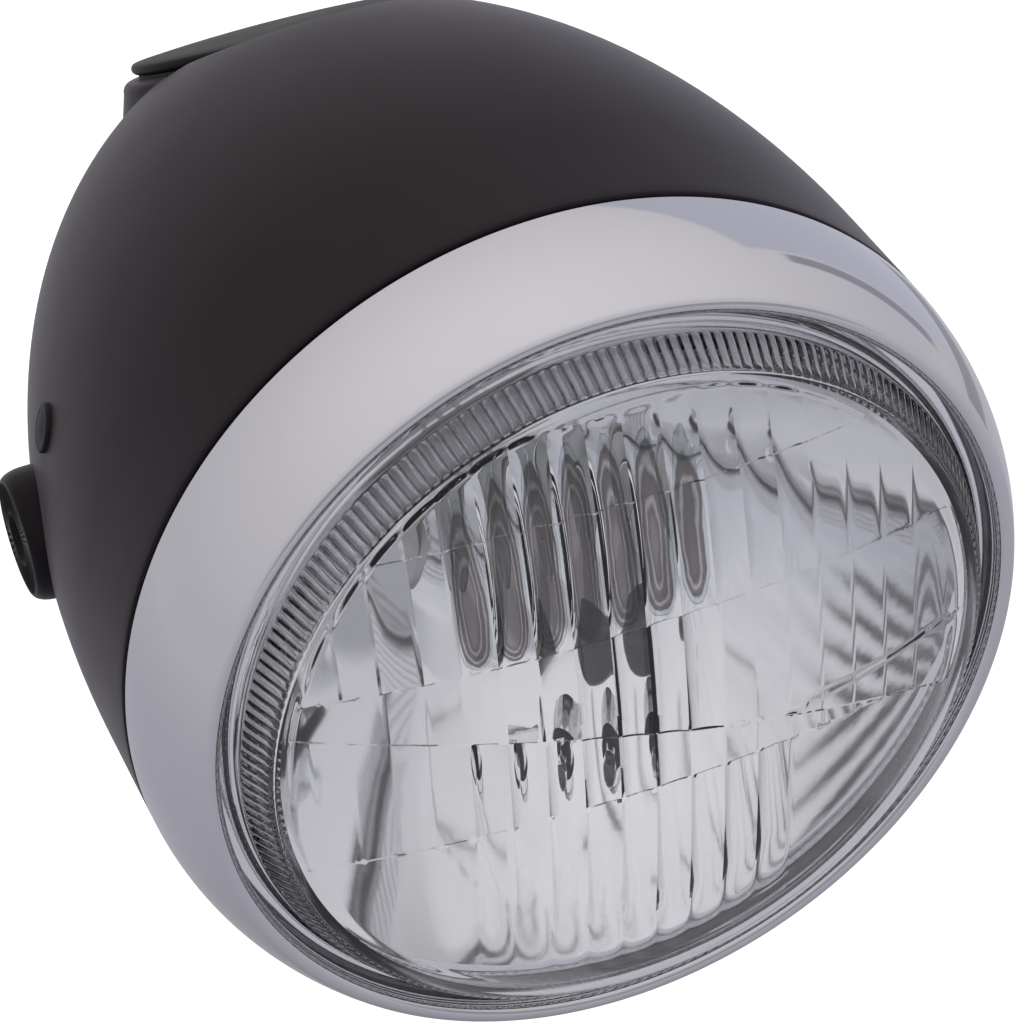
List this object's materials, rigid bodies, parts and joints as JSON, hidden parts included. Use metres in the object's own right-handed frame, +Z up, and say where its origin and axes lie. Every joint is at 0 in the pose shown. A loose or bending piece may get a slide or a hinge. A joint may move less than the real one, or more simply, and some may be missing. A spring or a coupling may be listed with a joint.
{
  "type": "motorcycle headlight",
  "caption": "Round motorcycle headlight: deep black bowl shell with a tilted capped instrument seat, domed chrome rim, fluted glass lens, mirror reflector and threaded side bosses.",
  "frame": {"origin": "midway between the two threaded side bosses, on the axis that the fork ears hold and on the beam axis", "axes": "+X towards the boss on the right of someone who looks at the lens's back, along the mounting axis; -Y along the beam, out of the lens; +Z up"},
  "size_m": [0.1926, 0.2363, 0.1926],
  "materials": {
    "satin_black": "satin black enamel on pressed steel",
    "boss_black": "semi-gloss black",
    "cover_black": "satin black moulding",
    "black_plastic": "satin",
    "black_rubber": "matt",
    "zinc_steel": "zinc plated",
    "spring_steel": "bright spring steel",
    "chrome": "bright plated",
    "silvered_mirror": "vacuum-coated mirror",
    "lens_glass": "clear pressed glass with a faint grey-green cast",
    "bulb_glass": "clear glass with a dark cap at its tip"
  },
  "bodies": {
    "root": {"shell": "satin_black", "instrument_cover": "cover_black", "cover_seal": "black_rubber", "cover_bridge": "zinc_steel", "cover_nut": "zinc_steel", "rim": "chrome", "rim_seal": "black_rubber", "rim_tongue": "zinc_steel", "rim_bracket": "zinc_steel", "rim_nut": "zinc_steel", "rim_screw": "zinc_steel", "rim_clips": "spring_steel", "lens": "lens_glass", "lens_gasket": "black_rubber", "reflector": "silvered_mirror", "bulb": "bulb_glass", "bulb_lock_ring": "spring_steel", "bulb_boot": "black_rubber", "pilot_holder": "black_plastic", "pilot_bulb": "bulb_glass", "left_boss": "boss_black", "right_boss": "boss_black", "left_boss_washer": "zinc_steel", "right_boss_washer": "zinc_steel", "left_boss_nut": "zinc_steel", "right_boss_nut": "zinc_steel", "side_plug": "black_plastic", "cable_grommet": "black_rubber"}
  },
  "joints": []
}
